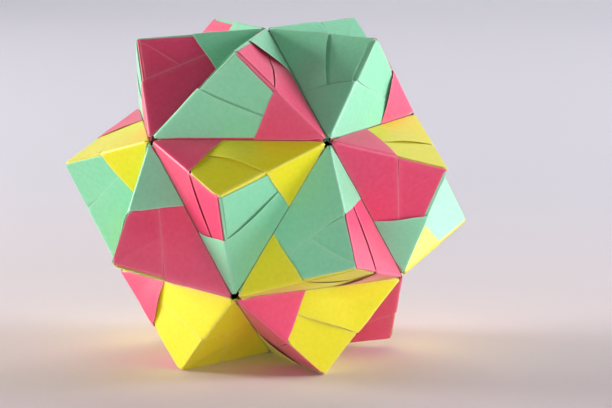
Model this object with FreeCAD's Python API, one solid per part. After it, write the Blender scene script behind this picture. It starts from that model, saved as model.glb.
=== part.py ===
import FreeCAD, Part
import math
import os

from FreeCAD import Matrix, Placement, Rotation, Vector

# A star-shaped ball of modular origami, folded from thirty square sheets of coloured note paper.
# Each sheet makes one unit, which lies along one edge of an icosahedron, and three units lock
# together in each of the twenty pyramids. Millimetres, +Z up. The ball rests on its foot corner and
# on the two pyramid tips in front (-Y). The origin is under the middle of its bounding box.

sheet_side = 90.0         # a square note sheet
paper = 0.10              # thickness of one sheet
air = 0.01                # space left between the paper of two units
hole_reach = 1.1          # how far the paper's points stop short of each corner of the ball
ring_count = 5            # units in each ring round the vertical axis
front_turn = -90.0        # degrees, the direction of the foremost lower corner

# The folds divide each side of the sheet into quarters, and two quarters make an edge.
quarter = sheet_side / 4
edge = 2 * quarter
crease_slope = math.tan(math.radians(22.5))    # the flap's folded edge halves a 45 degree corner
flap_foot = edge - edge * crease_slope         # where the flap dives into the valley

# Heights above the plane of a pyramid's face. Its owner, the unit along its base, lies lowest with
# four layers. The next unit's tab lies on them with three and its flap with one, and the owner's
# own flap closes the pocket over them.
owner_top = 4 * paper
tab_low = owner_top + air
tab_top = tab_low + 3 * paper
flap_top = tab_top + paper
pocket_low = flap_top + air
pocket_top = pocket_low + paper

# The icosahedron and the pyramids on its triangles, which are corners of a cube.
golden = (1 + math.sqrt(5)) / 2
corner_radius = edge * math.sqrt(golden * math.sqrt(5)) / 2
edge_radius = edge * golden / 2                       # from the centre to the middle of an edge
triangle_radius = edge * golden**2 / math.sqrt(12)    # from the centre to the middle of a triangle
tip_radius = triangle_radius + edge / math.sqrt(6)
half_dihedral = math.acos(-math.sqrt(5) / 3) / 2
half_valley = math.pi - half_dihedral - math.acos(1 / math.sqrt(3))
valley_lean = 1 / math.tan(half_valley)               # how far a valley's middle moves per height


class Face:
    """A pyramid's face. u runs along its base from start to end, v up to the tip, w outward."""

    def __init__(self, start, end, tip):
        self.start = start
        self.along = (end - start).normalize()
        self.outward = self.along.cross(tip - start).normalize()
        self.up = self.outward.cross(self.along)

    def at(self, u, v, w):
        return self.start + self.along * u + self.up * v + self.outward * w


def loft(low_ring, high_ring):
    """The solid between two rings that have the same number of corners."""
    rings = [low_ring[::-1], high_ring]
    for i in range(len(low_ring)):
        j = (i + 1) % len(low_ring)
        rings.append([low_ring[i], low_ring[j], high_ring[j], high_ring[i]])
    faces = [Part.Face(Part.makePolygon(ring + ring[:1])) for ring in rings]
    return Part.makeSolid(Part.makeShell(faces))


def plate(face, outline, low, high):
    """Paper between two heights of a face. outline gives its (u, v) corners at a height."""
    return loft(*[[face.at(u, v, w) for u, v in outline(w)] for w in (low, high)])


def whole_face(past_start, past_end, gap):
    """The face's triangle, carried past its two ridges and set back by a gap from the valley."""
    def outline(w):
        base = w * valley_lean + gap
        return [
            (base - math.sqrt(2) * past_start, base),
            (edge - base + math.sqrt(2) * past_end, base),
            (quarter + (past_end - past_start) / math.sqrt(2),
             quarter + (past_end + past_start) / math.sqrt(2)),
        ]
    return outline


def long_flap(past_start, gap):
    """The flap on its own tab, up to the slit that runs from the base's end to the other ridge."""
    def outline(w):
        base = w * valley_lean + gap
        ridge = math.sqrt(2) * past_start
        slit = (edge * crease_slope - ridge) / (1 + crease_slope)
        return [(base - ridge, base), (edge - base / crease_slope, base), (slit, slit + ridge)]
    return outline


def short_flap(past_end):
    """The rest of the flap, which closes the owner's pocket at the base's end."""
    def outline(w):
        base = w * valley_lean
        ridge = edge + math.sqrt(2) * past_end
        mouth = (flap_foot + ridge * crease_slope) / (1 + crease_slope)
        return [(flap_foot + base * crease_slope, base), (ridge - base, base), (mouth, ridge - mouth)]
    return outline


def valley_strip(face):
    """The flap's way down into the valley, between the tabs that lie on either side."""
    half = paper / 2 / math.sin(half_valley)
    section = [(owner_top / 2, -half), (owner_top / 2, half), (pocket_top, half), (pocket_top, -half)]
    return loft(*[
        [face.at(u, w * valley_lean + side, w) for w, side in section]
        for u in (flap_foot, edge)
    ])


def corner_hole(corner, neighbour):
    """A five-sided prism about a corner of the ball, with one side square to a neighbour."""
    axis = Vector(corner).normalize()
    first = (neighbour - axis * neighbour.dot(axis)).normalize() * (hole_reach / math.cos(math.pi / 5))
    spokes = [Rotation(axis, 36 + 72 * k).multVec(first) for k in range(5)]
    depth = axis * (edge / 4)
    return loft([corner + spoke - depth for spoke in spokes], [corner + spoke + depth for spoke in spokes])


def turned_half(shape):
    """The same shape on the unit's other half."""
    other = shape.copy()
    other.rotate(Vector(0, 0, 0), Vector(0, 0, 1), 180)
    return other


def folded_unit():
    """One folded sheet. Its edge lies along X, with the ball's centre at the origin, below it."""
    near = Vector(-quarter, 0, edge_radius)
    far = Vector(quarter, 0, edge_radius)
    rise = edge * math.sqrt(3) / 2
    side = Vector(0, -rise * math.sin(half_dihedral), edge_radius - rise * math.cos(half_dihedral))
    tip = (near + far + side).normalize() * tip_radius
    owned = Face(far, near, tip)
    tabbed = Face(near, side, tip)
    gap = (paper / 2 + air) / math.sin(half_valley)
    half = [
        plate(owned, whole_face(-air, tab_top, 0), 0, owner_top),
        plate(tabbed, whole_face(owner_top, tab_top - air, gap), tab_low, tab_top),
        plate(tabbed, long_flap(pocket_top, gap), tab_top, flap_top),
        plate(owned, short_flap(flap_top), pocket_low, pocket_top),
        valley_strip(owned),
    ]
    holes = [corner_hole(near, far), corner_hole(side, near)]
    layers = half + [turned_half(shape) for shape in half]
    return layers[0].multiFuse(layers[1:]).cut(holes + [turned_half(hole) for hole in holes])


def upper_corner(k):
    """A corner of the upper ring, each half a step before the lower corner with its number."""
    turn = Rotation(Vector(0, 0, 1), front_turn + (k - 0.5) * 360 / ring_count)
    return turn.multVec(Vector(2, 0, 1)) * (corner_radius / math.sqrt(5))


def lower_corner(k):
    """A corner of the lower ring."""
    turn = Rotation(Vector(0, 0, 1), front_turn + k * 360 / ring_count)
    return turn.multVec(Vector(2, 0, -1)) * (corner_radius / math.sqrt(5))


def unit_edges():
    """Each unit's name and the two corners that it joins. Number 1 of each ring is in front."""
    crown = Vector(0, 0, corner_radius)
    edges = {}
    for k in range(ring_count):
        edges[f"green_crown_unit_{k + 1}"] = (crown, upper_corner(k))
        edges[f"pink_upper_unit_{k + 1}"] = (upper_corner(k), upper_corner(k + 1))
        edges[f"green_belt_unit_{k + 1}"] = (upper_corner(k), lower_corner(k))
        edges[f"yellow_belt_unit_{k + 1}"] = (upper_corner(k + 1), lower_corner(k))
        edges[f"pink_lower_unit_{k + 1}"] = (lower_corner(k), lower_corner(k + 1))
        edges[f"yellow_foot_unit_{k + 1}"] = (lower_corner(k), -crown)
    return edges


def along_edge(start, end):
    """The placement that carries the unit from its own frame to an edge of the ball."""
    x = (end - start).normalize()
    z = (end + start).normalize()
    y = z.cross(x)
    return Placement(Matrix(x.x, y.x, z.x, 0, x.y, y.y, z.y, 0, x.z, y.z, z.z, 0, 0, 0, 0, 1))


def resting_lean():
    """How far the ball leans forward, from its foot corner onto the two tips in front."""
    tip_angle = math.acos(triangle_radius / corner_radius)
    tip_lift = corner_radius - tip_radius * math.cos(tip_angle)
    reach = tip_radius * math.sin(tip_angle) * math.cos(math.pi / ring_count)
    return Rotation(Vector(1, 0, 0), math.degrees(math.atan2(tip_lift, reach)))


unit = folded_unit()
lean = Placement(Vector(), resting_lean())
ball = {}
for name, (start, end) in unit_edges().items():
    ball[name] = unit.copy()
    ball[name].Placement = lean * along_edge(start, end)

box = Part.makeCompound(list(ball.values())).BoundBox
os.makedirs("parts", exist_ok=True)
for name, shape in ball.items():
    shape.translate(Vector(-box.Center.x, -box.Center.y, -box.ZMin))
    shape.exportStep(f"parts/{name}.step")
    print(name, shape.ShapeType, shape.isValid(), round(shape.Volume, 1))
print("box", round(box.XLength, 2), round(box.YLength, 2), round(box.ZLength, 2))
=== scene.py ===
import math
import random

import bpy
from mathutils import Matrix, Vector
from mathutils.geometry import delaunay_2d_cdt


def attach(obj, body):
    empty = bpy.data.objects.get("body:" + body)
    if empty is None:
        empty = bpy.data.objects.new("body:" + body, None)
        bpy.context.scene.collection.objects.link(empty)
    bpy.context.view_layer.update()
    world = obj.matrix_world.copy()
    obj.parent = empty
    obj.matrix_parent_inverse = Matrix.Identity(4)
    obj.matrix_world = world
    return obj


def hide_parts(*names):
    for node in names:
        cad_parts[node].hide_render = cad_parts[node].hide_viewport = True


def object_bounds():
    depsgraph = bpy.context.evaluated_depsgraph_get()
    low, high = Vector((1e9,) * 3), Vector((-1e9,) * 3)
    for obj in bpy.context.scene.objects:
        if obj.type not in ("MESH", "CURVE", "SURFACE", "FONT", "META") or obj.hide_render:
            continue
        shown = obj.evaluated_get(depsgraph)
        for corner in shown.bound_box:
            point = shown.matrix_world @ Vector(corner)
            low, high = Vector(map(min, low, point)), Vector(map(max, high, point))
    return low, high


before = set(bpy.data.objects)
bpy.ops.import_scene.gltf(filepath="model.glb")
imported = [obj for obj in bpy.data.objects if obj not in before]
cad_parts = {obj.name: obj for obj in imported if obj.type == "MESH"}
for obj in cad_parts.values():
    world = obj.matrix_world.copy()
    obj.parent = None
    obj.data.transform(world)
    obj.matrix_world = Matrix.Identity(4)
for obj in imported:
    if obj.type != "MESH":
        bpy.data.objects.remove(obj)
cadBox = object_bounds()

mm = 0.001
scene = bpy.context.scene


def addNode(tree, kind, inputs=None, **settings):
    # adds a node, sets it up and links or fills its inputs, then hands back the node
    node = tree.nodes.new(kind)
    column, row = divmod(len(tree.nodes), 6)     # six nodes stand in each column
    node.location = (220 * column, -190 * row)
    for name, value in settings.items():
        setattr(node, name, value)
    for name, value in (inputs or {}).items():
        if isinstance(value, bpy.types.NodeSocket):
            tree.links.new(value, node.inputs[name])
        else:
            node.inputs[name].default_value = value
    return node


def linearColour(hexColour):
    # sRGB hex to the linear values that Blender's sockets take
    channels = [int(hexColour[i:i + 2], 16) / 255 for i in (1, 3, 5)]
    linear = [c / 12.92 if c <= 0.04045 else ((c + 0.055) / 1.055) ** 2.4 for c in channels]
    return (*linear, 1.0)


# The paper unit, flattened: one half of it, all sizes in millimetres. x runs along the unit's own
# valley from its near corner, y along the valley that its tab covers. The ridge fold is the line
# x = y, with the pocket side below it and the tab side above it. The line x + y = edge is the
# pyramid's next ridge, which belongs to another unit.

foldedSheet = {
    "edge": 45.0,            # half the side of the square note sheet, and one edge of the ball
    "layer": 0.10,           # one layer of paper
    "air": 0.01,             # between the paper of two units
    "cornerHole": 0.92,      # how far the points stop short of a corner of the ball
    "innerSetback": 0.45,    # how much further the hidden layers stop short of it
    "valleyGap": 0.12,       # between a flap's edge and the middle of its valley
    "valleyDepth": 1.0,      # how much deeper the valley's own crease lies
    "valleyWidth": 0.5,      # how near to the valley the crease starts to go down
    "leanWidth": 5.0,        # within this distance of a valley the layers lean with it,
    "leanFold": 1.5,         # but less and less this near to the ridge fold
    "ridgeWidth": 0.9,       # over which the layers step up at the ridge fold, from pocket to tab
    "foldHalf": 0.5,         # how far the ridge fold itself reaches to either side
    "tabSink": 0.16,         # how far a tab's lower layers lie below its top leaf
    "sinkWidth": 0.25,       # next to the fold, over which they go down there
    "pocketInset": 0.7,      # how far the pocket side stays inside the next ridge
    "endInset": 0.85,        # and a tab's end inside the flap that wraps it, at the corner
    "leafGap": 0.20,         # the open line between a tab's flap and its top leaf
    "leafInset": 0.85,       # how far the top leaf's edge lies from its own ridge
    "leafEnd": 4.0,          # how far it stops short of the corner, where the next unit covers it
    "creaseStart": 1.0,      # how far the crease across the top leaf stays from the slit
    "creaseEnd": 1.6,        # and from the next ridge
    "tipOutline": ((-0.5, -1.4), (0.4, -0.5), (0.4, 0.4), (0.0, 1.1)),    # past the tip, across it
    "rimRounding": 0.14,     # folded edges are rounded over this width
    "rimFadeAndHighlight": 0.45,         # the paper is paler this far in from an open edge, as faded dye and as a painted highlight,
    "ridgeFadeAndHighlight": 0.6,        # this far from the ridge fold,
    "creaseWear": 0.3,       # and this far from the crease across the top leaf
    "meshStep": 1.15,        # size of the triangles that the paper is drawn with
    "meshRoom": 0.55,        # points stay this share of a step away from the lines
    "rimRings": (0.4, 1.0, 2.6),    # the lines inside the rim, in shares of its rounding
}
edge = foldedSheet["edge"]
quarter = edge / 2
layer = foldedSheet["layer"]
air = foldedSheet["air"]
slitTurn = math.radians(22.5)                # the flap's folded edge halves a corner of 45 degrees
slitSlope = math.tan(slitTurn)
slitReach = edge * math.sin(slitTurn)        # from the near corner square to the slit
ridgeLength = quarter * math.sqrt(2)
farEnd = edge - foldedSheet["cornerHole"] - foldedSheet["innerSetback"]    # of the hidden layers
wrapReach = ridgeLength * (math.sqrt(2) - 1)    # from a tip to the flap that wraps the next ridge
# the two ends of the crease across the top leaf, along x
creaseEnds = (quarter * slitSlope + foldedSheet["creaseStart"], quarter - foldedSheet["creaseEnd"])
hair = 0.02                                  # keeps an outline off the middle of the valley
golden = (1 + math.sqrt(5)) / 2              # the ball's corners are those of an icosahedron
halfDihedral = math.acos(-math.sqrt(5) / 3) / 2    # half the angle between two of its triangles
halfValley = math.pi - halfDihedral - math.acos(1 / math.sqrt(3))    # and between two pyramid faces
valleyLean = 1 / math.tan(halfValley)        # how far the valley's middle moves for each height


def smooth(value):
    # eases from 0 to 1
    value = min(1.0, max(0.0, value))
    return value * value * (3 - 2 * value)


def fromRidge(along, across):
    # a flat point from its distance along the ridge fold and across it, towards the tab
    return ((along - across) / math.sqrt(2), (along + across) / math.sqrt(2))


def acrossRidge(x, y):
    # how far a flat point lies from the ridge fold, towards the tab
    return (y - x) / math.sqrt(2)


def tabShare(x, y):
    # 0 on the pocket side, 1 on the tab side, which lies on another unit's layers; a third of the
    # step is on the pocket side
    return smooth(acrossRidge(x, y) / foldedSheet["ridgeWidth"] + 1 / 3)


def plateHeights(x, y):
    # lowest and highest point of the inner layers above the pyramid's face; the tab's sink beside the
    # fold, where its top leaf starts
    onTab = tabShare(x, y)
    pastFold = acrossRidge(x, y) - foldedSheet["foldHalf"]
    sunk = foldedSheet["tabSink"] * smooth(pastFold / foldedSheet["sinkWidth"])
    valley = foldedSheet["valleyDepth"] * max(0.0, 1 - y / foldedSheet["valleyWidth"])
    return (4 * layer + air) * onTab - valley, 4 * layer + (3 * layer + air) * onTab - sunk - valley


def flapHeights(x, y):
    # the outermost layer, on the eight of the pocket or the seven of the tab
    onTab = tabShare(x, y)
    return 8 * layer + 2 * air - (layer - air) * onTab, 9 * layer + 2 * air - (layer + air) * onTab


def leafHeights(x, y):
    return 7 * layer, 8 * layer


def plateOutline():
    # the inner layers, counterclockwise from the near corner, on both sides of the ridge fold
    hole = (foldedSheet["cornerHole"] + foldedSheet["innerSetback"]) * math.sqrt(2)
    gap = foldedSheet["valleyGap"]
    tip = [fromRidge(ridgeLength + past, across) for past, across in foldedSheet["tipOutline"]]
    return [
        (hole - hair, hair), (farEnd, hair), (farEnd, edge - farEnd - foldedSheet["pocketInset"]),
        *tip, (edge - farEnd - foldedSheet["endInset"], farEnd), (gap, farEnd), (gap, hole - gap),
    ]


def flapOutline():
    # the flap round the ridge fold, from the pocket's mouth to the slit
    hole = foldedSheet["cornerHole"] * math.sqrt(2)
    gap = foldedSheet["valleyGap"]
    return [
        (hole - hair, hair), (edge * slitSlope, hair), ((edge - farEnd) * slitSlope, farEnd),
        (gap, farEnd), (gap, hole - gap),
    ]


def leafOutline():
    # the top leaf of the tab, between the slit and the next ridge
    start = slitReach + foldedSheet["leafGap"]
    across = foldedSheet["leafInset"]
    along = start * math.sqrt(2) + across * (math.cos(slitTurn) - math.sin(slitTurn))
    along /= math.cos(slitTurn) + math.sin(slitTurn)
    end = edge - foldedSheet["leafEnd"]
    slitSide = (start - end * math.sin(slitTurn)) / math.cos(slitTurn)
    return [
        fromRidge(along, across), fromRidge(ridgeLength, across),
        (edge - end - foldedSheet["endInset"], end), (slitSide, end),
    ]


def inset(outline, depth):
    # the same outline moved inwards, a sharp corner by at most twice the depth
    corners = []
    for i, corner in enumerate(outline):
        before = Vector(corner) - Vector(outline[i - 1])
        after = Vector(outline[(i + 1) % len(outline)]) - Vector(corner)
        inBefore = Vector((-before.y, before.x)).normalized()
        inAfter = Vector((-after.y, after.x)).normalized()
        bisector = (inBefore + inAfter).normalized()
        corners.append(Vector(corner) + bisector * (depth / max(0.5, bisector.dot(inBefore))))
    return [tuple(c) for c in corners]


def isInside(spot, outline):
    # an odd number of sides lies to the right of a spot inside
    inside = False
    for i, (x1, y1) in enumerate(outline):
        x0, y0 = outline[i - 1]
        if (y0 > spot.y) != (y1 > spot.y) and spot.x < x0 + (spot.y - y0) * (x1 - x0) / (y1 - y0):
            inside = not inside
    return inside


def distanceTo(spot, start, end):
    line = end - start
    share = min(1.0, max(0.0, (spot - start).dot(line) / line.length_squared))
    return (start + line * share - spot).length


def onHeight(x, y, heights, share):
    # a flat point at a share of its part's thickness, leaning with the valley beside it
    low, high = heights(x, y)
    height = low + (high - low) * share
    across = acrossRidge(x, y)
    width = foldedSheet["leanWidth"]
    fold = foldedSheet["leanFold"]
    leanX = valleyLean * height * smooth(1 - x / width) * smooth(across / fold)
    leanY = valleyLean * height * smooth(1 - y / width) * smooth(-across / fold)
    return (x + leanX, y + leanY, height)


def meshPart(outline, creases, heights):
    # one flat part as a closed solid: a triangulated top and bottom that meet in a rounded rim
    step = foldedSheet["meshStep"]
    rowStep = 0.866 * step                       # makes the triangles' sides equal
    rounding = foldedSheet["rimRounding"]
    rings = [outline] + [inset(outline, rounding * share) for share in foldedSheet["rimRings"]]
    lines = [list(zip(ring, ring[1:] + ring[:1])) for ring in rings]
    lines += [[crease] for crease in creases]
    points = []
    constraints = []
    for line in lines:
        for start, end in line:
            start = Vector(start)
            end = Vector(end)
            pieces = max(1, round((end - start).length / step))
            first = len(points)
            points += [start.lerp(end, i / pieces) for i in range(pieces + 1)]
            constraints += [(first + i, first + i + 1) for i in range(pieces)]
        if line is lines[0]:
            loop = list(range(len(points)))
    segments = [(Vector(a), Vector(b)) for line in lines for a, b in line]
    rows = int(ridgeLength / rowStep) + 2
    for row in range(-rows, rows):
        for column in range(rows * 2):
            spot = Vector(fromRidge((column + 0.5 * (row % 2)) * step, (row + 0.5) * rowStep))
            if not isInside(spot, outline):
                continue
            if min(distanceTo(spot, a, b) for a, b in segments) > foldedSheet["meshRoom"] * step:
                points.append(spot)
    keepInside = 1                               # the triangles outside the loop are dropped
    nearest = 1e-5                               # points that are nearer than this are merged
    cut = delaunay_2d_cdt(points, constraints, [loop], keepInside, nearest)
    used = sorted({i for triangle in cut[2] for i in triangle})
    flat = [Vector(cut[0][i]) for i in used]
    triangles = [tuple(used.index(i) for i in triangle) for triangle in cut[2]]
    sides = {(f[i], f[(i + 1) % 3]) for f in triangles for i in range(3)}
    rim = {i for pair in sides if pair[::-1] not in sides for i in pair}
    fromRim = [min(distanceTo(p, Vector(a), Vector(b)) for a, b in lines[0]) for p in flat]
    # half the thickness, as a share of it, is a quarter of a circle at the rim
    half = [0.5 * math.sqrt(max(0.0, 1 - (1 - min(1.0, d / rounding)) ** 2)) for d in fromRim]
    vertices = [onHeight(*p, heights, 0.5 + h) for h, p in zip(half, flat)]
    below = {i: i for i in rim}                  # the top and bottom share the points of the rim
    for i in range(len(flat)):
        if i not in rim:
            below[i] = len(vertices)
            vertices.append(onHeight(*flat[i], heights, 0.5 - half[i]))
            flat.append(flat[i])
            fromRim.append(fromRim[i])
    faces = triangles + [(below[a], below[c], below[b]) for a, b, c in triangles]
    return flat, fromRim, vertices, faces


# millimetres over which a movement of the paper fades out, from the edge or middle that moves, and
# near the ridge fold and the corner, which stay where they are
fadeOut = {"lift": 8, "leaf": 9, "ridge": 6, "valley": 6, "end": 5, "dent": 8,
           "fold": 2, "endFold": 1.5, "corner": 7}
dentPlaces = {"tab": (0.38, 1.33), "pocket": (0.67, 0.38)}    # in quarters of the sheet


def shapesAt(x, y, part, fromRim):
    # how strongly each movement of the paper acts at a flat point, and what else is known of it
    onFlap = float(part == "flap")
    onLeaf = float(part == "leaf")
    across = acrossRidge(x, y)
    tabSide = smooth(across / fadeOut["fold"])
    pocketSide = smooth(-across / fadeOut["fold"])
    pastFold = smooth((across - foldedSheet["foldHalf"]) / fadeOut["endFold"])
    fromValley = min(x, y)
    fromEnd = (edge - x - y) / math.sqrt(2)
    pastSlit = x * math.cos(slitTurn) + y * math.sin(slitTurn) - slitReach
    alongSlit = (y * math.cos(slitTurn) - x * math.sin(slitTurn)) / edge
    toRidge = math.sin(slitTurn) * slitSlope     # the slit's line meets the valley at minus this
    mouthShare = (alongSlit + toRidge) / (2 * toRidge)
    slitShare = (alongSlit - toRidge) / math.sin(slitTurn)    # 1 where the next unit covers it
    nearSlit = onFlap * smooth(1 + pastSlit / fadeOut["lift"])
    # 0 at the three sides of the half face, and 1 in its middle
    swell = 108 * abs(across) * max(0.0, fromEnd) * max(0.0, fromValley) / edge**3
    fromDent = {place: math.hypot(x - quarter * u, y - quarter * v)
                for place, (u, v) in dentPlaces.items()}
    crease = [Vector((end, quarter)) for end in creaseEnds]
    # paler near rims, the ridge fold and the crease: partly faded dye, partly a painted highlight
    # where folds catch light
    creaseWear = 1 - distanceTo(Vector((x, y)), *crease) / foldedSheet["creaseWear"]
    rimFadeAndHighlight = 1 - fromRim / foldedSheet["rimFadeAndHighlight"]
    ridgeFadeAndHighlight = 1 - abs(across) / foldedSheet["ridgeFadeAndHighlight"]
    return {
        "pocket swell": swell if across < 0 else 0.0,
        "tab swell": swell if across > 0 else 0.0,
        "mouth lift": nearSlit * math.sin(math.pi * min(1.0, max(0.0, mouthShare))),
        "slit lift": nearSlit * math.sin(math.pi * min(1.0, max(0.0, slitShare))),
        "leaf slide": onLeaf * smooth(1 - pastSlit / fadeOut["leaf"]),
        "ridge slide": onLeaf * smooth(1 - (across - foldedSheet["leafInset"]) / fadeOut["ridge"]),
        "valley slide": smooth(1 - x / fadeOut["valley"]) * smooth(y / fadeOut["corner"]) * tabSide,
        "end slide": smooth(1 - fromEnd / fadeOut["end"]) * pastFold * smooth(wrapReach - across),
        "tab dent": smooth(1 - fromDent["tab"] / fadeOut["dent"]) * tabSide,
        "pocket dent": (1 - onFlap) * smooth(1 - fromDent["pocket"] / fadeOut["dent"]) * pocketSide,
        "crease wear": onLeaf * max(0.0, creaseWear),
        "fadeAndHighlight": max(0.0, rimFadeAndHighlight, ridgeFadeAndHighlight),
        "far share": max(0.0, x - y) / edge,
        "side share": max(0.0, y - x) / edge,
        "tip share": 2 * fromValley / edge,
        "is flap": onFlap,
    }


# The mesh follows lines beside the ridge fold, the valley and the leaf's crease, which end just
# inside the outlines. These are their distances from the fold or crease, and from what they stop at.
meshLines = {
    "plate": (-0.9, -0.45, -0.2, 0.0, 0.2, 0.45, 0.8, 1.2),
    "flap": (-1.5, -1.0, -0.6, -0.3, 0.0, 0.3, 0.6, 1.0, 1.5),
    "leaf": (-0.3, 0.0, 0.3),
    "fromHole": 0.4,
    "fromTip": 0.3,
    "fromSlit": 0.8,
    "fromValleyEnd": 2.5,
}


def flattenedUnit():
    # both halves of the unit: the far half is the near one turned round the middle of the edge
    start = foldedSheet["cornerHole"] + meshLines["fromHole"]
    innerStart = start + foldedSheet["innerSetback"]
    innerEnd = ridgeLength - meshLines["fromTip"]
    slitEnd = edge * slitSlope / (1 + slitSlope) * math.sqrt(2) - meshLines["fromSlit"]
    plateLines = [
        (fromRidge(innerStart, across), fromRidge(innerEnd, across)) for across in meshLines["plate"]
    ]
    fromEnd = meshLines["fromValleyEnd"]
    plateLines += [tuple((x, foldedSheet["valleyWidth"]) for x in (fromEnd, edge - fromEnd))]
    flapLines = [
        (fromRidge(start, across), fromRidge(slitEnd, across)) for across in meshLines["flap"]
    ]
    leafLines = [
        tuple((end, quarter + apart) for end in creaseEnds) for apart in meshLines["leaf"]
    ]
    vertices = []
    faces = []
    shapes = []
    for part, outline, lines, heights in (
        ("plate", plateOutline(), plateLines, plateHeights),
        ("leaf", leafOutline(), leafLines, leafHeights),
        ("flap", flapOutline(), flapLines, flapHeights),
    ):
        flat, fromRim, nearVertices, nearFaces = meshPart(outline, lines, heights)
        farVertices = [(edge - x, -y, z) for x, y, z in nearVertices]
        for halfVertices in (nearVertices, farVertices):
            first = len(vertices)
            vertices += halfVertices
            faces += [tuple(first + i for i in face) for face in nearFaces]
            shapes += [shapesAt(*p, part, rim) for p, rim in zip(flat, fromRim)]
    mesh = bpy.data.meshes.new("flattenedUnit")
    mesh.from_pydata([(x * mm, y * mm, z * mm) for x, y, z in vertices], [], faces)
    for name in shapes[0]:
        values = [shape[name] for shape in shapes]
        mesh.attributes.new(name, "FLOAT", "POINT").data.foreach_set("value", values)
    mesh.update()
    return mesh


# Folding the flattened unit. These are for an edge of length 1, with the ball's centre at the origin.
near = Vector((-0.5, 0, golden / 2))         # the unit's two corners
far = Vector((0.5, 0, golden / 2))
rise = math.sqrt(3) / 2                      # of a triangle
side = Vector((0, -rise * math.sin(halfDihedral), golden / 2 - rise * math.cos(halfDihedral)))
triangleRadius = golden**2 / math.sqrt(12)   # from the centre to the middle of a triangle
tipRadius = triangleRadius + 1 / math.sqrt(6)    # and to the tip of the cube corner that stands on it
tipAxis = (near + far + side).normalized()
ridge = (tipAxis * tipRadius - near).normalized()
towardsPocket = ((far - near) - ridge * (far - near).dot(ridge)).normalized()
towardsTab = ((side - near) - ridge * (side - near).dot(ridge)).normalized()

foldInputs = {
    "Edge": edge * mm,
    "Fold softness": 0.4 * mm,       # rounding of the ridge folds, inner layers
    "Flap softness": 1.6 * mm,       # and of the flap that is only tucked round the ridge
    "Fold reach": 3 * mm,            # outer layers go past the fold within this distance of it
    "Crease depth": 0.08 * mm,
    "Crumple height": 0.3 * mm,
    "Crumple size": 25 * mm,
    "Crumple seed": 3.0,
}

# Each movement of the paper: the side of the unit that it is on, its name in the look of the face
# there, and the way that it goes in the flattened unit.
movements = {
    "leaf slide": ("tab", "leaf", (math.cos(slitTurn), math.sin(slitTurn), 0)),
    "ridge slide": ("tab", "ridge", (0.7, -0.7, 0)),
    "valley slide": ("tab", "valley", (1, 0, 0)),
    "end slide": ("tab", "end", (-0.7, -0.7, 0)),
    "pocket swell": ("pocket", "swell", (0, 0, 1)),
    "tab swell": ("tab", "swell", (0, 0, 1)),
    "mouth lift": ("pocket", "mouth", (0, 0, 1)),
    "slit lift": ("tab", "slit", (0, 0, 1)),
    "tab dent": ("tab", "dent", (0, 0, -1)),
    "pocket dent": ("pocket", "dent", (0, 0, -1.05)),
}
# what else each flat point knows: how plain the crease is there, and its share in the movement of
# the far corner, of the corner beside it and of the tip
otherShapes = ("crease wear", "far share", "side share", "tip share", "is flap")


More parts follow.
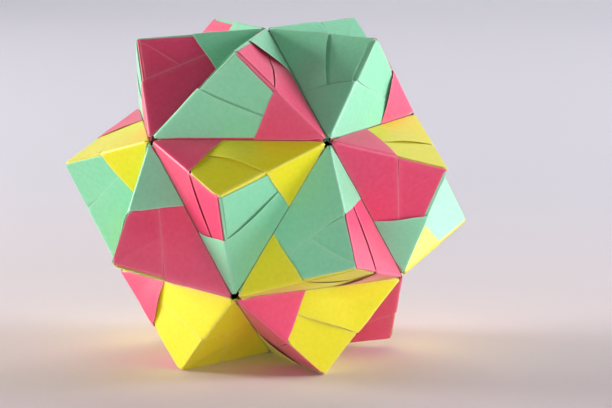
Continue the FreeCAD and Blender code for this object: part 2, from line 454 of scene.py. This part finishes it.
def foldTree():
    tree = bpy.data.node_groups.new("foldUnit", "GeometryNodeTree")
    sockets = [("Flat unit", "Geometry"), ("Paper", "Material")]
    sockets += [("Turn", "Vector"), ("Place", "Vector")]
    sockets += [(name, "Float") for name in foldInputs]
    for half in ("Near ", "Far "):
        sockets += [(half + name, "Float") for name in (*movements, "crease wear")]
        sockets += [(half + name, "Vector") for name in ("own corner", "side corner", "tip")]
    for name, kind in sockets:
        socket = tree.interface.new_socket(name, in_out="INPUT", socket_type="NodeSocket" + kind)
        if name in foldInputs:
            socket.default_value = foldInputs[name]
    tree.interface.new_socket("Folded unit", in_out="OUTPUT", socket_type="NodeSocketGeometry")
    given = addNode(tree, "NodeGroupInput").outputs
    number = "ShaderNodeMath"
    vector = "ShaderNodeVectorMath"

    # the far half is turned onto the near one, folded, and turned back
    flat = addNode(tree, "GeometryNodeInputPosition").outputs[0]
    flatY = addNode(tree, "ShaderNodeSeparateXYZ", {0: flat}).outputs[1]
    isFar = addNode(tree, number, {0: flatY, 1: 0.0}, operation="LESS_THAN").outputs[0]
    halfTurn = addNode(tree, number, {0: isFar, 1: math.pi}, operation="MULTIPLY").outputs[0]
    middle = addNode(tree, vector, {0: (0.5, 0, 0), "Scale": given["Edge"]},
                     operation="SCALE").outputs[0]
    spot = addNode(tree, "ShaderNodeVectorRotate", {
        "Vector": flat, "Center": middle, "Angle": halfTurn}, rotation_type="Z_AXIS").outputs[0]

    # each movement's strength at this point, times its amount for this half
    shape = {}
    for name in (*movements, *otherShapes, "fadeAndHighlight"):
        shape[name] = addNode(tree, "GeometryNodeInputNamedAttribute", {"Name": name},
                              data_type="FLOAT").outputs[0]
    moved = {}
    for name in (*movements, "crease wear"):
        amount = addNode(tree, "ShaderNodeMix", {
            0: isFar, 2: given["Near " + name], 3: given["Far " + name]}, data_type="FLOAT").outputs[0]
        moved[name] = addNode(tree, number, {0: amount, 1: shape[name]},
                              operation="MULTIPLY").outputs[0]

    # the paper slides in its own plane and moves out of it, and the crease stands up a little
    for name, (part, key, direction) in movements.items():
        spot = addNode(tree, vector, {0: direction, 1: moved[name], 2: spot},
                       operation="MULTIPLY_ADD").outputs[0]
    height = addNode(tree, "ShaderNodeSeparateXYZ", {0: spot}).outputs[2]
    height = addNode(tree, number, {0: moved["crease wear"], 1: given["Crease depth"], 2: height},
                     operation="MULTIPLY_ADD").outputs[0]

    # the ridge fold is square, with a soft corner; outer layers reach past it by their height
    diagonal = math.sqrt(0.5)
    along = addNode(tree, vector, {0: spot, 1: (diagonal, diagonal, 0)},
                    operation="DOT_PRODUCT").outputs["Value"]
    softness = addNode(tree, "ShaderNodeMix", {
        0: shape["is flap"], 2: given["Fold softness"], 3: given["Flap softness"]},
        data_type="FLOAT").outputs[0]
    folded = addNode(tree, vector, {0: near, "Scale": given["Edge"]}, operation="SCALE").outputs[0]
    folded = addNode(tree, vector, {0: ridge, 1: along, 2: folded},
                     operation="MULTIPLY_ADD").outputs[0]
    for sign, direction in ((-1, towardsPocket), (1, towardsTab)):
        into = addNode(tree, vector, {0: spot, 1: (-sign * diagonal, sign * diagonal, 0)},
                       operation="DOT_PRODUCT").outputs["Value"]
        past = addNode(tree, "ShaderNodeMapRange", {0: into, 1: given["Fold reach"], 2: 0.0},
                       interpolation_type="SMOOTHSTEP").outputs[0]
        past = addNode(tree, number, {0: height, 1: past}, operation="MULTIPLY").outputs[0]
        into = addNode(tree, number, {0: into, 1: 0.0, 2: softness}, operation="SMOOTH_MAX").outputs[0]
        into = addNode(tree, number, {0: into, 1: past}, operation="SUBTRACT").outputs[0]
        folded = addNode(tree, vector, {0: direction, 1: into, 2: folded},
                         operation="MULTIPLY_ADD").outputs[0]
    folded = addNode(tree, "ShaderNodeVectorRotate", {"Vector": folded, "Angle": halfTurn},
                     rotation_type="Z_AXIS").outputs[0]

    # the ball's corners and tips have moved a little from their ideal places
    own, other, beside, tip = [
        addNode(tree, "ShaderNodeMix", {0: isFar, 4: given[first], 5: given[second]},
                data_type="VECTOR").outputs[1]
        for first, second in (
            ("Near own corner", "Far own corner"), ("Far own corner", "Near own corner"),
            ("Near side corner", "Far side corner"), ("Near tip", "Far tip"),
        )
    ]
    shifted = addNode(tree, vector, {0: own, 1: folded}, operation="ADD").outputs[0]
    for shift, share in ((other, "far share"), (beside, "side share"), (tip, "tip share")):
        change = addNode(tree, vector, {0: shift, 1: own}, operation="SUBTRACT").outputs[0]
        shifted = addNode(tree, vector, {0: change, 1: shape[share], 2: shifted},
                          operation="MULTIPLY_ADD").outputs[0]

    # the folds and the crease are painted paler, partly faded dye and partly a painted highlight where
    # they catch light; then the unit goes to its place and is crumpled there
    fadeAndHighlight = addNode(tree, number, {0: shape["fadeAndHighlight"], 1: moved["crease wear"]}, operation="MAXIMUM")
    markedFolds = addNode(tree, "GeometryNodeStoreNamedAttribute", {
        "Geometry": given["Flat unit"], "Name": "fadeAndHighlight", "Value": fadeAndHighlight.outputs[0]},
        data_type="FLOAT", domain="POINT")
    shaped = addNode(tree, "GeometryNodeSetPosition", {
        "Geometry": markedFolds.outputs[0], "Position": shifted})
    placed = addNode(tree, "GeometryNodeTransform", {
        "Geometry": shaped.outputs[0], "Translation": given["Place"], "Rotation": given["Turn"]})
    here = addNode(tree, "GeometryNodeInputPosition").outputs[0]
    fineness = addNode(tree, number, {0: 1.0, 1: given["Crumple size"]}, operation="DIVIDE").outputs[0]
    noise = addNode(tree, "ShaderNodeTexNoise", {
        "Vector": here, "W": given["Crumple seed"], "Scale": fineness, "Detail": 1.0},
        noise_dimensions="4D")
    centred = addNode(tree, vector, {0: noise.outputs["Color"], 1: (0.5, 0.5, 0.5)},
                      operation="SUBTRACT")
    offset = addNode(tree, vector, {0: centred.outputs[0], "Scale": given["Crumple height"]},
                     operation="SCALE")
    crumpled = addNode(tree, "GeometryNodeSetPosition", {
        "Geometry": placed.outputs[0], "Offset": offset.outputs[0]})
    # folding mirrors the flat unit, so its faces are turned to point outwards again
    turned = addNode(tree, "GeometryNodeFlipFaces", {"Mesh": crumpled.outputs[0]})
    soft = addNode(tree, "GeometryNodeSetShadeSmooth", {"Geometry": turned.outputs[0]})
    real = addNode(tree, "GeometryNodeRealizeInstances", {0: soft.outputs[0]})
    dyed = addNode(tree, "GeometryNodeSetMaterial", {
        "Geometry": real.outputs[0], "Material": given["Paper"]})
    addNode(tree, "NodeGroupOutput", {0: dyed.outputs[0]})
    return tree


# Note paper of 80 g/m2, made on a machine from pulp that was dyed before it became a sheet. Its colour
# goes right through it, and its surface is matt, with clouds where the fibres lie thicker.
notePaper = {
    "green_paper": {"colour": "#92e4b9", "cloudColour": "#8adeb2"},
    "pink_paper": {"colour": "#f4527e", "cloudColour": "#ee4a74"},
    "yellow_paper": {"colour": "#f3ec1c", "cloudColour": "#ede516"},
    "cloudSize": 1.1,        # millimetres; clouds of fibre in such paper are about 1 to 3 mm wide
    "cloudRange": (0.32, 0.68),    # the noise between these makes the clouds, so their edges are soft
    "fibreSize": 0.35,       # real ones are 0.03 mm thick, too fine to show, so they are drawn coarser
    "fibreHeight": 0.015,    # they stand up by about half a fibre
    "foldPaleAndHighlight": 0.13,      # how much paler the paper is at a fold: partly fibres broken by the crease, partly a painted highlight where the fold catches light
    "paleHighlightColour": "#fffdf6",
    "roughness": 0.42,       # uncoated, but pressed smooth by the machine's rollers
    "index": 1.5,            # cellulose
    "fuzz": 0.2,             # loose fibres catch light that comes from the side
    "fuzzRoughness": 0.3,
}


def dyedPaper(name, colour, cloudColour):
    material = bpy.data.materials.new(name)
    material.use_nodes = True
    tree = material.node_tree
    shader = tree.nodes["Principled BSDF"]
    place = addNode(tree, "ShaderNodeTexCoord").outputs["Object"]
    noise = addNode(tree, "ShaderNodeTexNoise", {
        "Vector": place, "Scale": 1 / (notePaper["cloudSize"] * mm), "Detail": 4.0}).outputs[0]
    low, high = notePaper["cloudRange"]
    cloud = addNode(tree, "ShaderNodeMapRange", {0: noise, 1: low, 2: high}).outputs[0]
    dyed = addNode(tree, "ShaderNodeMix", {
        0: cloud, 6: linearColour(colour), 7: linearColour(cloudColour)}, data_type="RGBA").outputs[2]
    # folds, rims and the crease are mixed towards a pale colour: partly faded dye, partly a painted
    # highlight
    fadeAndHighlight = addNode(tree, "ShaderNodeAttribute", attribute_name="fadeAndHighlight").outputs["Fac"]
    paleHighlightShare = addNode(tree, "ShaderNodeMath", {0: fadeAndHighlight, 1: notePaper["foldPaleAndHighlight"]},
                    operation="MULTIPLY").outputs[0]
    dyed = addNode(tree, "ShaderNodeMix", {
        0: paleHighlightShare, 6: dyed, 7: linearColour(notePaper["paleHighlightColour"])}, data_type="RGBA").outputs[2]
    fibre = addNode(tree, "ShaderNodeTexNoise", {
        "Vector": place, "Scale": 1 / (notePaper["fibreSize"] * mm), "Detail": 3.0}).outputs[0]
    bump = addNode(tree, "ShaderNodeBump", {
        "Strength": 1.0, "Distance": notePaper["fibreHeight"] * mm, "Height": fibre}).outputs[0]
    tree.links.new(dyed, shader.inputs["Base Color"])
    tree.links.new(bump, shader.inputs["Normal"])
    shader.inputs["Roughness"].default_value = notePaper["roughness"]
    shader.inputs["IOR"].default_value = notePaper["index"]
    shader.inputs["Sheen Weight"].default_value = notePaper["fuzz"]
    shader.inputs["Sheen Roughness"].default_value = notePaper["fuzzRoughness"]
    return material


papers = {slot: dyedPaper(f"pulpDyed_{slot}", **notePaper[slot])
          for slot in ("green_paper", "pink_paper", "yellow_paper")}
print("paper dyed in", len(papers), "colours")

# the ball: thirty folded units on the edges of an icosahedron
ball = {
    "unitsInRing": 5,            # there are six such rings round the ball
    "frontTurn": -90.0,          # degrees, the direction of the foremost lower corner
    "sag": 0.0166,               # the ball has sunk by this share of its height
    "jitter": 0.25,              # how far an unlisted corner or tip has moved, in millimetres
    "height": 43.64,             # its centre above the floor, in millimetres
}
cornerRadius = edge * math.sqrt(golden * math.sqrt(5)) / 2
tipAngle = math.acos(triangleRadius * edge / cornerRadius)
tipLift = cornerRadius - tipRadius * edge * math.cos(tipAngle)
tipReach = tipRadius * edge * math.sin(tipAngle) * math.cos(math.pi / ball["unitsInRing"])
# from its foot corner the ball leans forward onto the two tips in front
restingLean = Matrix.Rotation(math.atan2(tipLift, tipReach), 3, "X")
centre = (Vector(cadBox[0]) + Vector(cadBox[1])) / 2
centre.z = ball["height"] * mm

# how far corners and tips have moved from their ideal places, in millimetres; a tip is named by its
# three corners
cornerShifts = {
    "upper_1": (0.3, 0.1, 0.0), "upper_2": (-0.3, 0.0, 0.4), "upper_3": (-0.1, -0.1, -0.4),
    "lower_1": (-0.5, -0.1, 0.2), "lower_2": (0.1, 0.1, 0.2), "lower_5": (-0.5, 0.0, 0.6),
    "crown": (0.7, 0.1, -0.1), "foot": (0.0, -0.1, -0.45),
    "lower_1 upper_1 upper_2": (-0.4, -0.2, -0.4), "crown upper_1 upper_2": (-0.1, 0.0, 0.3),
    "crown upper_2 upper_3": (0.3, 0.1, 0.4), "lower_2 upper_2 upper_3": (0.1, 0.0, 0.0),
    "lower_1 lower_2 upper_2": (0.2, 0.0, -0.1), "lower_1 lower_5 upper_1": (0.2, -0.1, -0.6),
    "lower_5 upper_1 upper_5": (0.2, 0.0, 0.0), "crown upper_1 upper_5": (-0.3, -0.1, -0.3),
    "foot lower_1 lower_5": (0.7, 0.2, 0.0), "foot lower_1 lower_2": (0.1, 0.0, 0.0),
    "lower_2 lower_3 upper_3": (0.0, -0.1, -0.4), "foot lower_2 lower_3": (-0.7, -0.1, 0.3),
}

# How the paper lies on each pyramid face, in millimetres, but the crease is a share. A face is named
# by the two corners of its valley, counterclockwise as seen from outside. What isn't listed
# varies at random between the two values of usualFace.
usualFace = {
    "swell": (0.05, 0.20),     # how far the middle of the paper bulges
    "mouth": (0.1, 0.5),       # how far the pocket's mouth stands open
    "slit": (0.1, 0.5),        # how far the flap's edge lifts off the tab
    "leaf": (-0.15, 0.1),      # how far the top leaf has slid away from the slit
    "ridge": (0.1, 0.7),       # and how far towards its own ridge
    "valley": (0.0, 0.15),     # how far the tab has come out of its valley
    "end": (-0.5, 0.2),        # how far the tab's end stays back from the next ridge
    "dent": (0.0, 0.3),        # how deep the soft dents are
    "crease": (0.0, 0.5),      # how plainly the crease across the top leaf shows, as a small rise and as paler colour that is partly a painted highlight
}
handFolded = {
    "upper_1 upper_2": {"slit": 0.35, "mouth": 0.1, "leaf": 0.3, "ridge": 0.0, "valley": 0.5,
                        "end": 0.0, "crease": 0.0},
    "upper_2 crown": {"slit": 0.15, "mouth": 0.2, "leaf": 0.15, "ridge": 0.0, "valley": 0.4,
                      "end": 0.0, "dent": 0.9, "crease": 0.0},
    "upper_1 crown": {"slit": 0.0, "mouth": 0.2, "leaf": -0.25, "ridge": 0.1, "valley": 0.0,
                      "end": 0.0, "crease": 1.0},
    "crown upper_2": {"slit": 1.1, "mouth": 0.3, "leaf": 0.5, "ridge": 0.3, "valley": 0.3,
                      "end": 0.5, "crease": 0.0},
    "upper_2 upper_3": {"slit": 0.1, "mouth": 0.3, "leaf": -0.2, "ridge": 0.5, "valley": 0.0,
                        "dent": 0.5, "crease": 0.0},
    "upper_2 upper_1": {"slit": 0.85, "mouth": 0.2, "leaf": -0.1, "ridge": 0.3, "valley": 0.1,
                        "end": -0.8, "crease": 0.0},
    "upper_1 lower_1": {"slit": 0.2, "mouth": 0.3, "leaf": 0.6, "ridge": 0.35, "valley": 0.1,
                        "end": 0.0, "crease": 0.0},
    "lower_1 upper_2": {"slit": 0.5, "mouth": 0.1, "leaf": 0.3, "ridge": 0.1, "valley": 0.0,
                        "end": 0.0, "crease": 0.0},
    "upper_2 lower_1": {"slit": 0.0, "mouth": 0.2, "leaf": -0.25, "ridge": 0.75, "valley": -0.06,
                        "end": -0.3, "crease": 1.2},
    "lower_2 upper_2": {"slit": 0.15, "mouth": 0.2, "leaf": 0.5, "ridge": 0.5, "valley": 0.1,
                        "end": -0.55, "crease": 0.0},
    "lower_1 lower_2": {"slit": 0.3, "mouth": 0.4, "leaf": 0.0, "ridge": 0.3, "valley": 0.1,
                        "end": -0.3, "crease": 0.0},
    "lower_1 upper_1": {"slit": 0.0, "mouth": 0.2, "leaf": -0.25, "ridge": 0.35, "valley": 0.1,
                        "end": -0.8, "crease": 0.2},
    "upper_1 upper_5": {"slit": 0.1, "mouth": 0.2, "leaf": -0.2, "ridge": 0.6, "valley": 0.1,
                        "crease": 0.2},
    "lower_5 upper_1": {"slit": 0.0, "mouth": 0.2, "leaf": -0.25, "ridge": 0.6, "valley": 0.1,
                        "crease": 0.5},
    "upper_2 lower_2": {"slit": 0.0, "mouth": 0.55, "leaf": -0.25, "ridge": 0.6, "valley": 0.1,
                        "crease": 0.2},
    "upper_3 upper_2": {"slit": 0.5, "mouth": 0.3, "leaf": -0.15, "ridge": 0.5, "valley": 0.1,
                        "crease": 0.2},
    "lower_1 lower_5": {"slit": 0.0, "mouth": 0.5, "leaf": -0.7, "ridge": 0.85, "valley": 0.1,
                        "end": -0.7, "crease": 0.0},
    "foot lower_1": {"slit": 0.1, "mouth": 0.2, "leaf": -0.35, "ridge": 0.6, "valley": 0.1,
                     "end": -0.9, "crease": 0.6},
    "lower_2 lower_1": {"slit": 0.6, "mouth": 0.2, "leaf": -0.2, "ridge": 0.6, "valley": 0.1,
                        "end": -0.6, "crease": 0.0},
    "lower_5 lower_1": {"slit": 0.2, "mouth": 0.2, "leaf": 0.0, "ridge": 0.3, "valley": 0.1,
                        "end": -0.8, "crease": 0.0},
    "lower_1 foot": {"slit": 0.2, "mouth": 0.5, "leaf": 0.0, "ridge": 0.35, "valley": 0.1,
                     "end": 0.65, "crease": 0.0},
    "upper_3 crown": {"end": 0.4},
}


def ringCorner(k, height):
    # a corner of the upper ring, with height 1, or of the lower ring, with height -1
    turn = Matrix.Rotation(math.radians(ball["frontTurn"] + k * 360 / ball["unitsInRing"]), 3, "Z")
    return turn @ Vector((2, 0, height)) * (cornerRadius / math.sqrt(5))


corners = {"crown": Vector((0, 0, cornerRadius)), "foot": Vector((0, 0, -cornerRadius))}
for k in range(ball["unitsInRing"]):
    corners[f"lower_{k + 1}"] = ringCorner(k, -1)
    corners[f"upper_{k + 1}"] = ringCorner(k - 0.5, 1)


def unitEdges():
    # each unit's name and the two corners that it joins
    edges = {}
    for k in range(1, ball["unitsInRing"] + 1):
        after = k % ball["unitsInRing"] + 1
        edges[f"green_crown_unit_{k}"] = ("crown", f"upper_{k}")
        edges[f"pink_upper_unit_{k}"] = (f"upper_{k}", f"upper_{after}")
        edges[f"green_belt_unit_{k}"] = (f"upper_{k}", f"lower_{k}")
        edges[f"yellow_belt_unit_{k}"] = (f"upper_{after}", f"lower_{k}")
        edges[f"pink_lower_unit_{k}"] = (f"lower_{k}", f"lower_{after}")
        edges[f"yellow_foot_unit_{k}"] = (f"lower_{k}", "foot")
    return edges


def shiftOf(name):
    # the movement of a corner or tip: listed, or at random but always the same, and the ball's sag
    ideal = sum((corners[corner] for corner in name.split()), Vector())
    if " " in name:
        ideal = ideal.normalized() * tipRadius * edge
    if name in cornerShifts:
        shift = Vector(cornerShifts[name])
    else:
        chance = random.Random(name)
        shift = Vector([chance.uniform(-1, 1) * ball["jitter"] for axis in range(3)])
    shift.z -= ball["sag"] * ((restingLean @ ideal).z + centre.z / mm)
    return shift


def lookOf(name):
    # how the paper lies on a face: listed, or at random but always the same
    chance = random.Random(name)
    look = {key: chance.uniform(*span) for key, span in usualFace.items()}
    look.update(handFolded.get(name, {}))
    return look


def sideCorner(start, end):
    # the corner beyond the near half's valley; it is one edge away from both ends of the unit
    alongUnit = corners[end] - corners[start]
    outwards = corners[end] + corners[start]
    for name, place in corners.items():
        apart = max((place - corners[start]).length, (place - corners[end]).length)
        isNeighbour = name not in (start, end) and apart < 1.1 * edge
        if isNeighbour and place.dot(outwards.cross(alongUnit)) < 0:
            return name


flatMesh = flattenedUnit()
print("flattened unit", len(flatMesh.vertices), "points", len(flatMesh.polygons), "faces")
tree = foldTree()
sockets = {item.name: item.identifier for item in tree.interface.items_tree if item.in_out == "INPUT"}
for name, (start, end) in unitEdges().items():
    alongUnit = (corners[end] - corners[start]).normalized()
    outwards = (corners[end] + corners[start]).normalized()
    turn = restingLean @ Matrix((alongUnit, outwards.cross(alongUnit), outwards)).transposed()
    slotName = name.split("_")[0] + "_paper"
    values = dict(foldInputs)
    values.update({"Turn": tuple(turn.to_euler()), "Place": tuple(centre), "Paper": papers[slotName]})
    for half, own, other in (("Near ", start, end), ("Far ", end, start)):
        beside = sideCorner(own, other)
        looks = {"pocket": lookOf(f"{other} {own}"), "tab": lookOf(f"{own} {beside}")}
        for movement, (part, key, direction) in movements.items():
            values[half + movement] = looks[part][key] * mm
        values[half + "crease wear"] = looks["tab"]["crease"]
        tip = " ".join(sorted((own, other, beside)))
        for label, moving in (("own corner", own), ("side corner", beside), ("tip", tip)):
            values[half + label] = tuple(turn.transposed() @ shiftOf(moving) * mm)
    sheet = bpy.data.objects.new("flat_" + name, flatMesh)
    scene.collection.objects.link(sheet)
    modifier = sheet.modifiers.new("fold", "NODES")
    modifier.node_group = tree
    for label, value in values.items():
        modifier[sockets[label]] = value
    evaluated = sheet.evaluated_get(bpy.context.evaluated_depsgraph_get())
    folded = bpy.data.meshes.new_from_object(evaluated)
    folded.name = "folded_" + name
    bpy.data.objects.remove(sheet)
    for attribute in (*movements, *otherShapes):
        folded.attributes.remove(folded.attributes[attribute])
    piece = bpy.data.objects.new("folded_" + name, folded)
    scene.collection.objects.link(piece)
    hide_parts(name)
    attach(piece, "root")
print("folded units placed")

# sizes in metres; y is the distance behind the ball
studio = {
    "halfWidth": 2.5,
    "frontEdge": -1.2,
    "bendStart": 0.9,
    "bendRadius": 0.8,
    "top": 2.5,
    # the near colour is painted shade: the floor is darker towards the front, where the lamps' light
    # falls off
    "nearShadeColour": "#e2d6db",
    "floorColour": "#ede3e8",
    "backColour": "#dfdee9",
    "floorSpan": (-0.06, 0.04),    # where the near floor's painted shade turns into the floor's colour
    "backSpan": (0.04, 0.30),      # and the floor's into the backdrop's
    "roughness": 0.9,
}


def sweep():
    # a floor that curves up into its backdrop, in one piece
    start = studio["bendStart"]
    radius = studio["bendRadius"]
    bend = [math.radians(angle) for angle in range(0, 91, 5)]
    profile = [(studio["frontEdge"], 0.0)]
    profile += [(start + radius * math.sin(a), radius - radius * math.cos(a)) for a in bend]
    profile += [(start + radius, studio["top"])]
    width = studio["halfWidth"]
    vertices = [(x, y, z) for y, z in profile for x in (-width, width)]
    faces = [(2 * i, 2 * i + 1, 2 * i + 3, 2 * i + 2) for i in range(len(profile) - 1)]
    mesh = bpy.data.meshes.new("sweep")
    mesh.from_pydata(vertices, [], faces)
    mesh.shade_smooth()
    floor = bpy.data.objects.new("paperSweep", mesh)
    scene.collection.objects.link(floor)
    material = bpy.data.materials.new("mattBackgroundPaper")
    material.use_nodes = True
    tree = material.node_tree
    shader = tree.nodes["Principled BSDF"]
    place = addNode(tree, "ShaderNodeTexCoord").outputs["Object"]
    depth = addNode(tree, "ShaderNodeSeparateXYZ", {0: place}).outputs[1]
    # the sweep starts from the painted shade of the near floor
    colour = linearColour(studio["nearShadeColour"])
    for part in ("floor", "back"):
        start, end = studio[part + "Span"]
        share = addNode(tree, "ShaderNodeMapRange", {0: depth, 1: start, 2: end}).outputs[0]
        colour = addNode(tree, "ShaderNodeMix", {
            0: share, 6: colour, 7: linearColour(studio[part + "Colour"])},
            data_type="RGBA").outputs[2]
    tree.links.new(colour, shader.inputs["Base Color"])
    shader.inputs["Roughness"].default_value = studio["roughness"]
    mesh.materials.append(material)


def lookAt(thing, place, aim, roll=0.0):
    direction = Vector(aim) - Vector(place)
    turn = direction.to_track_quat("-Z", "Y").to_matrix().to_4x4()
    turn = turn @ Matrix.Rotation(math.radians(roll), 4, "Z")
    thing.matrix_world = Matrix.Translation(place) @ turn


def softbox(name, place, size, power, colour, aim=(0, 0, 0.05)):
    data = bpy.data.lights.new(name, "AREA")
    data.shape = "RECTANGLE"
    data.size, data.size_y = size
    data.energy = power
    data.color = linearColour(colour)[:3]
    lamp = bpy.data.objects.new(name, data)
    scene.collection.objects.link(lamp)
    lookAt(lamp, place, aim)


# places and sizes in metres, powers in watts
lamps = {
    "leftSoftbox": {
        "place": (-0.92, 0.03, 0.22), "size": (0.36, 0.36), "power": 10.6, "colour": "#fffaf4"},
    "leftBackSoftbox": {
        "place": (-0.72, 0.55, 0.35), "size": (0.7, 0.6), "power": 1.2, "colour": "#ffffff"},
    "leftFrontSoftbox": {
        "place": (-0.75, -0.60, 0.20), "size": (0.6, 0.35), "power": 0.8, "colour": "#ffffff"},
    "rightSoftbox": {
        "place": (0.90, 0.20, 0.24), "size": (0.36, 0.36), "power": 7.2, "colour": "#fbfaff"},
    "rightBackSoftbox": {
        "place": (0.70, 0.62, 0.30), "size": (0.7, 0.6), "power": 2.2, "colour": "#ffffff"},
    "rightFrontSoftbox": {
        "place": (0.75, -0.60, 0.20), "size": (0.6, 0.35), "power": 1.5, "colour": "#ffffff"},
    "backSoftbox": {
        "place": (0.0, 0.80, 0.90), "size": (0.7, 0.6), "power": 2.4, "colour": "#fffcf8"},
    "frontCard": {
        "place": (0.05, -1.10, 0.12), "size": (0.9, 0.22), "power": 3.3, "colour": "#fffaf6"},
    "backdropLamp": {
        "place": (0.0, 1.10, 0.70), "size": (1.8, 0.4), "power": 2.9, "colour": "#ffffff",
        "aim": (0.0, 1.10, 0.0)},
}
room = {"colour": "#f2f0f4", "strength": 0.01}
sweep()
for name, look in lamps.items():
    softbox(name, **look)
world = bpy.data.worlds.new("softRoom")
scene.world = world
world.use_nodes = True
surround = world.node_tree.nodes["Background"]
surround.inputs["Color"].default_value = linearColour(room["colour"])
surround.inputs["Strength"].default_value = room["strength"]

cameraPose = {
    "place": (0.15054, -0.68246, 0.15672),
    "aim": (0.00981, 0.00148, 0.03943),
    "roll": -0.84,             # degrees
    "lens": 159.96,            # millimetres
    "sensor": 36,              # its width in millimetres
}
cameraData = bpy.data.cameras.new("camera")
cameraData.sensor_width = cameraPose["sensor"]
cameraData.lens = cameraPose["lens"]
camera = bpy.data.objects.new("camera", cameraData)
scene.collection.objects.link(camera)
lookAt(camera, cameraPose["place"], cameraPose["aim"], cameraPose["roll"])
scene.camera = camera
scene.view_settings.view_transform = "Standard"
print("floor, lights and camera set")
